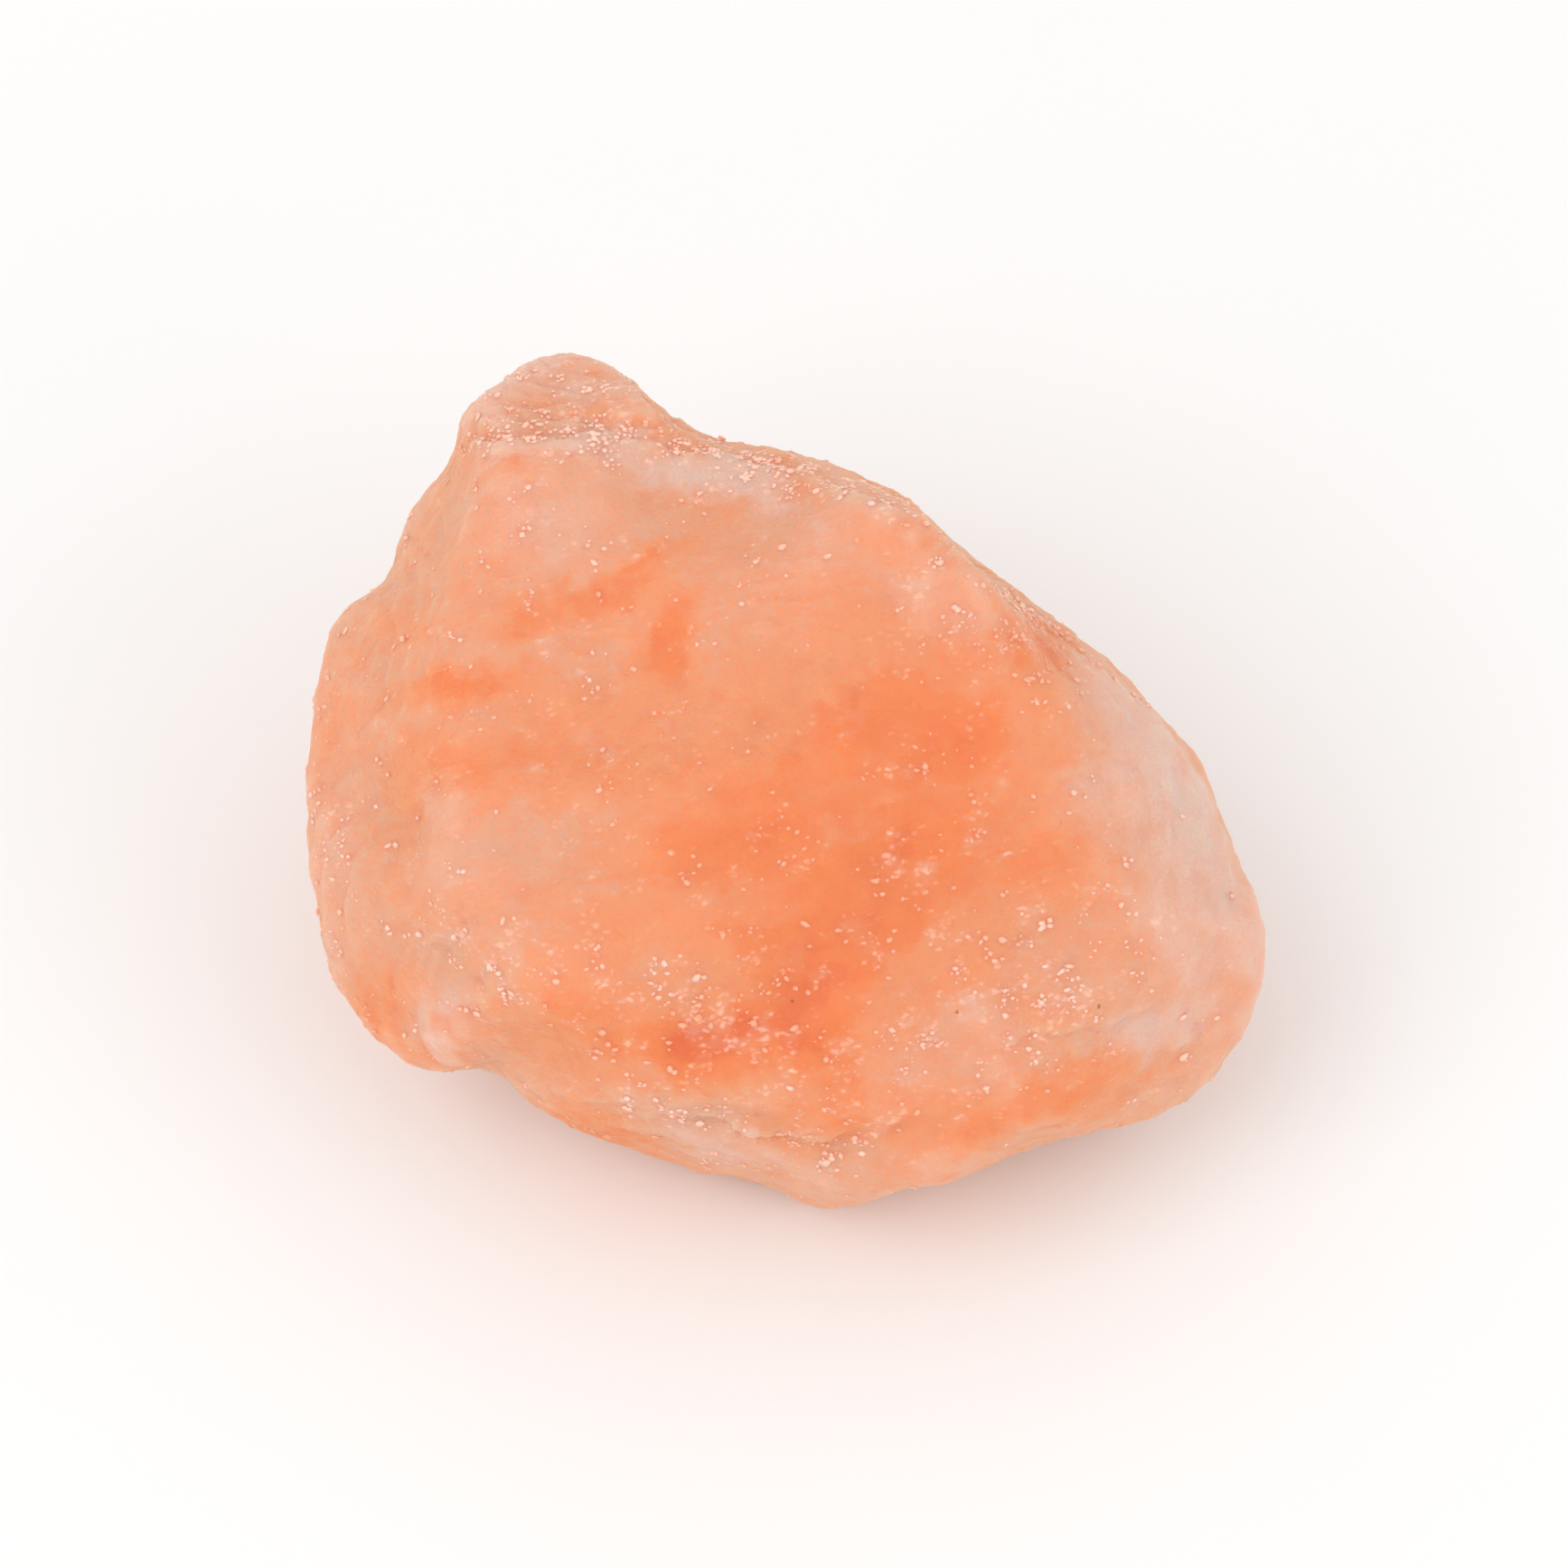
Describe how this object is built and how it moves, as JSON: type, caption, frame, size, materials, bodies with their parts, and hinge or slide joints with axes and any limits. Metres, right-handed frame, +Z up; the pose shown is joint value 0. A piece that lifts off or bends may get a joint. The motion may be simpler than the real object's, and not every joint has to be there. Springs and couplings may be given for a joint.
{
  "type": "rough pink halite lump",
  "caption": "Rough lump of pink rock salt (halite) with worn fracture faces, a small nub at one corner and a flat cleaved underside to rest on.",
  "frame": {"origin": "middle of the lump's bounding box seen from above, in the plane of the flat face it rests on", "axes": "+Z up, +X to the right of a viewer who faces the broad show face, which looks up and towards -Y"},
  "size_m": [0.0484, 0.041, 0.0326],
  "materials": {
    "rock_salt": "frosted, translucent, with white specks"
  },
  "bodies": {
    "root": {"salt_lump": "rock_salt"}
  },
  "joints": []
}
